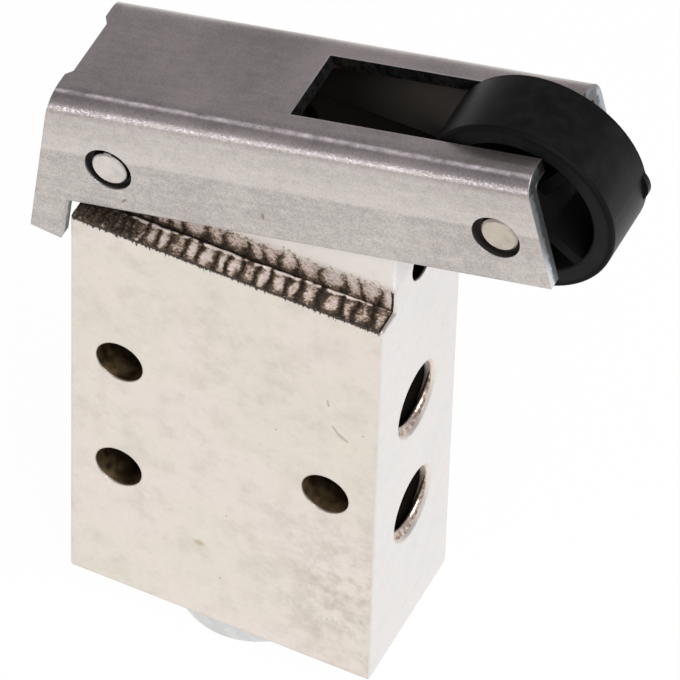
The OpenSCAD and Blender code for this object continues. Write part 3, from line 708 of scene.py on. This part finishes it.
def rolled_sheet():
    """Sheet steel seen along (u), across (w) and up (v) the lever, from the pivot's axis.

    Sand, mottle, streaks and drift set its tone. Its inside is painted dark as painted shade, and painted
    paler past lit_u, where the slot lets light in. Painted shade also fills the ring round each pin, below a
    clean lip.
    """
    material, shade, shader = finish("lever_sheet")
    turn = (0, lever_tilt, 0)
    spot = place(shade, turn=turn, origin=pivot)
    u, w, v = spot.parts()
    side = abs(w)
    flat = lever_half - bend_r
    sand = cloud(spot, 6.5, 2, 0.6)
    mottle = cloud(spot, 1.4, 4, 0.62)
    streak = cloud(place(shade, (0.15, 1.6, 1.6), turn, pivot), 1.6, 3, 0.6)
    drift = cloud(spot, 0.14, 3)
    flange = (side - lever_half).rise(-0.06, -0.02)
    upper = v.rise(rub_v - 0.15, rub_v + 0.15)
    calm = 0.55 + (side - flat).rise(-0.2, 0.4) * (0.40 - 0.25 * upper)
    tone = 0.8 * (mottle - 0.5) + 1.3 * (sand - 0.5) + 0.6 * (streak - 0.5)
    tone = tone + (1.8 - 1.2 * flange) * (drift - 0.5)
    rubbed = upper * (0.10 + 0.20 * v.rise(rub_v + 2.6, rub_v + 0.2)) - 0.11 + 0.08 * v.rise(rub_v, -3.0)
    tone = calm * tone + rubbed * flange
    paint = (0.5 + tone).rise(0, 1).mix(colour(0.445, 0.407, 0.385), colour(0.73, 0.677, 0.632))

    # Painted highlight along the crease at the top of the near bend, over a raised bump; painted sparkles below.
    near_side = (w < 0) * (v > web_out - 0.5)
    crease_and_highlight = abs(side - crease_w - crease_lean * (u + 3)).rise(0.22, 0.02) * near_side
    crease_breakup = 0.35 + 1.2 * (streak - 0.5) + 1.6 * (mottle - 0.5) + 0.3 * sand
    crease_and_highlight = crease_and_highlight * crease_breakup.most(0.0).least(1.0)
    paint = crease_and_highlight.mix(paint, colour(1.0, 0.91, 0.95))
    fall = v - web_out + bend_r
    bend = (side - flat).rise(0.5, 1.0) * fall.rise(0.1, 0.4)
    painted_sparkle = cloud(spot, 5.0, 2, 0.6).rise(0.46, 0.62) * fall.rise(0.42, 0.60) * fall.rise(0.98, 0.80)
    paint = (painted_sparkle * 0.7).mix(paint, colour(1.0, 0.94, 0.98))

    # Painted highlight along the slot's top edges, stronger on the far one.
    beyond = (side - slot_half).most(slot_u - u)
    burr_and_highlight = beyond.rise(0.14, 0.04) * (beyond > -0.02) * (v > web_out - 0.05) * (0.35 + 0.65 * (w > 0))
    paint = (burr_and_highlight * 0.7).mix(paint, colour(0.95, 0.88, 0.86))

    x, _, z = place(shade).parts()
    marks = reduce(Shade.most, [stroke(x, z, *mark) for mark in flange_marks])
    marks = marks * (w < 0) * (side > lever_half - 0.05)
    paint = (marks * 0.6).mix(paint, colour(0.22, 0.13, 0.09))

    facing = shade.node("ShaderNodeTexCoord", (), (), "Normal")
    nx, ny, nz = facing.parts()
    across = abs(ny)
    lengthwise = abs(nx * float(np.cos(lever_tilt)) + nz * float(np.sin(lever_tilt)))
    low = v < web_out - bend_r - 0.05
    edge = (low * across.rise(0.6, 0.2)).most((1 - low) * lengthwise.rise(0.45, 0.75))
    through = (side - lever_half + sheet_t).most(v - web_out + sheet_t)
    tear = cloud(place(shade, (0.8, 1.0, 0.8), turn, pivot), 2.4, 4, 0.7)
    torn = (through + 0.9 * (tear - 0.5)).rise(0.35, 0.70)
    torn = torn * (1 - 0.75 * fall.rise(0.2, 1.0)) * (1 - 0.5 * v.rise(-2.0, 0.5))
    sheared = torn.mix(colour(0.17, 0.18, 0.185), colour(0.80, 0.83, 0.86))
    paint = edge.mix(paint, sheared)
    # The slot's walls are painted dark grey to near black.
    in_slot = (v > web_out - sheet_t - 0.1) * (side < flat - 0.2)
    slot_wall = in_slot * across.rise(0.4, 0.7).most(lengthwise.rise(0.45, 0.75) * (u > 0))
    slot_dark = tear.rise(0.3, 0.7).mix(colour(0.035, 0.036, 0.036), colour(0.15, 0.155, 0.155))
    paint = slot_wall.mix(paint, slot_dark)

    # Painted shade in the rings round the pins and on the channel's inside, paler where the slot lets light in.
    ring_shades = []
    for pin_u, pin_v, lip in pin_rings:
        near_pin = hypot(u - pin_u, v - pin_v) < ring_shade_r
        ring_shades.append(near_pin * side.rise(lever_half - lip, lever_half - lip - 0.05))
    ring = reduce(Shade.most, ring_shades)
    shaded_inside = (side < lever_half - sheet_t + 0.02) * (v < web_out - sheet_t + 0.02)
    hidden = ring.most(shaded_inside)
    inside_shade = ((u - lit_u).rise(0, lit_l) * shaded_inside).mix(colour(0.012, 0.010, 0.008), colour(0.17, 0.15, 0.13))
    paint = hidden.mix(paint, ring.mix(inside_shade, colour(0.034, 0.027, 0.024)))

    rough = 0.34 + 0.14 * sand + 0.25 * hidden + 0.06 * edge + 0.15 * crease_and_highlight - 0.11 * bend
    relief = sand + 0.8 * mottle + 0.4 * streak + 1.2 * painted_sparkle + edge * tear * 3.0 + 1.5 * crease_and_highlight
    settings = {"Base Color": paint, "Metallic": 1 - 0.5 * crease_and_highlight - 0.7 * hidden, "Roughness": rough}
    dress(shader, shade, settings, relief, depth=0.000006, bevel=0.0001)
    return material


coat(["lever"], rolled_sheet())

# Roller. A spoked wheel moulded in black plastic that turns on its pin, with the stub of its gate on the
# rim. The tread is polished by the cams that it runs on; the sides keep the mould's dull texture. The
# wells between the spokes and the rim's corners are painted darker, as painted shade.


def moulded_black():
    """Black moulding: faint mould texture, a smoother tread, scuffed corners darkened by painted shade,
    painted shade in the wells, rubs and dust.
    """
    material, shade, shader = finish("roller_plastic")
    spot = place(shade, origin=axle)
    x, y, z = spot.parts()
    radius = hypot(x, z)
    tread = radius.rise(tread_r - 0.25, tread_r - 0.08)
    corner = (abs(y) - rim_half).rise(-0.35, -0.2) * radius.rise(tread_r - 0.5, tread_r - 0.2)
    texture = cloud(spot, 8.0, 3, 0.6)
    smear = cloud(spot, 0.8, 4, 0.6)
    paint = smear.rise(0.35, 0.75).mix(colour(0.0058, 0.0057, 0.0058), colour(0.0115, 0.0112, 0.0118))
    # Painted shade in the wells between the spokes and on the rim's corners.
    well_shade = radius.rise(tread_r - 1.2, tread_r - 1.45)
    paint = well_shade.mix(paint, colour(0.002, 0.002, 0.0022))
    paint = (corner * 0.7).mix(paint, colour(0.002, 0.002, 0.002))
    dust = specks(spot, 0.8, 0.16, 0.10)
    flecks = specks(spot, 1.3, 0.22, 0.16) * corner
    rubs = cloud(place(shade, (2.0, 9.0, 2.0), origin=axle), 0.9, 3, 0.7).rise(0.66, 0.76) * tread
    paint = (dust * 0.3 + rubs * 0.05 + flecks * 0.6).least(1.0).mix(paint, colour(0.16, 0.155, 0.14))
    rough = 0.33 + 0.12 * smear + 0.14 * (1 - tread) + 0.1 * rubs + 0.25 * corner + 0.15 * well_shade
    settings = {"Base Color": paint, "Metallic": 0.0, "Roughness": rough, "Specular IOR Level": 0.12}
    dress(shader, shade, settings, texture + 0.5 * smear, depth=0.000008)
    return material


coat(["roller"], moulded_black())

# Stage. A white table seen from the photograph's place, a dim grey room, a large lamp at the upper right
# and a long soft box low in front that lights the lever's bend. The table's front is painted grey, a painted
# shade that shows only in reflections and darkens what the lever mirrors.
table_size, table_gap = 3.0, 0.00002
shade_start, shade_end = -85, -120
room_stops = [(0.0, (0.42, 0.40, 0.43)), (0.52, (0.34, 0.315, 0.355)), (0.72, (0.20, 0.185, 0.20)),
              (1.0, (0.14, 0.13, 0.14))]


def white_table():
    """Pale table that reads as white to the camera and in reflections, and keeps a soft shadow.

    Its front edge is painted grey, a painted shade which shows only in reflections.
    """
    material, shade, shader = finish("table")
    path = shade.node("ShaderNodeLightPath").socket.node
    watched = ("Is Camera Ray", "Is Glossy Ray", "Is Transmission Ray")
    rays = [Shade(shade.tree, path.outputs[name]) for name in watched]
    seen = (rays[0] + rays[1] + rays[2]).least(1.0)
    # Painted shade: reflections of the table's front are grey.
    front_shade = place(shade).parts()[1].rise(shade_start, shade_end) * (1 - rays[0])
    tint = front_shade.mix(colour(1, 1, 1), colour(0.50, 0.48, 0.49))
    glow = shade.node("ShaderNodeEmission", (), {"Color": tint, "Strength": 1.0})
    dress(shader, shade, {"Base Color": colour(0.9, 0.9, 0.9), "Roughness": 1.0, "Specular IOR Level": 0.0})
    plain = Shade(shade.tree, shader.outputs[0])
    blend = shade.node("ShaderNodeMixShader", (), {0: seen * 0.98, 1: plain, 2: glow})
    end = shade.tree.nodes["Material Output"]
    shade.tree.links.new(blend.socket, end.inputs["Surface"])
    return material


corner = np.array([(-1, -1), (1, -1), (1, 1), (-1, 1)]) * table_size / 2
table_z = cad_box[0][2] - table_gap
table = bpy.data.meshes.new("table")
table.from_pydata([(*at, table_z) for at in corner.tolist()], [], [(0, 1, 2, 3)])
table.materials.append(white_table())
floor = bpy.data.objects.new("table", table)
bpy.context.scene.collection.objects.link(floor)

room = bpy.data.worlds.new("room")
room.use_nodes = True
sky = Shade(room.node_tree)
height = sky.node("ShaderNodeTexCoord", (), (), "Generated").parts()[2]
walls = sky.node("ShaderNodeValToRGB", {"stops": room_stops}, {"Fac": height})
backdrop = room.node_tree.nodes["Background"]
room.node_tree.links.new(walls.socket, backdrop.inputs["Color"])
backdrop.inputs["Strength"].default_value = 1.0
bpy.context.scene.world = room


def soft_box(name, spot, aim, width, height, power):
    """Rectangular lamp at a spot, facing the aim."""
    lamp = bpy.data.lights.new(name, "AREA")
    lamp.shape = "RECTANGLE"
    lamp.size = width
    lamp.size_y = height
    lamp.energy = power
    made = bpy.data.objects.new(name, lamp)
    made.location = spot
    made.rotation_euler = (Vector(aim) - Vector(spot)).to_track_quat("-Z", "Y").to_euler()
    bpy.context.scene.collection.objects.link(made)


middle = Vector((0.005, -0.006, 0.008))
soft_box("upper_right", middle + Vector((0.32, -0.20, 0.50)), middle, width=0.40, height=0.40, power=3.6)
soft_box("front_low", middle + Vector((-0.30, -0.52, 0.012)), middle, width=0.70, height=0.06, power=0.33)

azimuth, elevation, roll = np.radians((24.576, 48.222, 1.978))
distance = 0.56276
focus_px, frame_px, sensor = 9000, 680, 36
aim = Vector((5.288, -5.75, 7.805)) * mm
back = Vector((np.sin(azimuth) * np.cos(elevation), -np.cos(azimuth) * np.cos(elevation),
               np.sin(elevation)))
level = Vector((np.cos(azimuth), np.sin(azimuth), 0))
upward = back.cross(level)
right = level * np.cos(roll) + upward * np.sin(roll)
top = upward * np.cos(roll) - level * np.sin(roll)
lens = bpy.data.cameras.new("camera")
lens.sensor_width = sensor
lens.lens = sensor * focus_px / frame_px
lens.clip_start = 0.01
camera = bpy.data.objects.new("camera", lens)
camera.matrix_world = Matrix((right, top, back)).transposed().to_4x4()
camera.location = aim + back * distance
bpy.context.scene.collection.objects.link(camera)
bpy.context.scene.camera = camera
bpy.context.scene.view_settings.view_transform = "Standard"
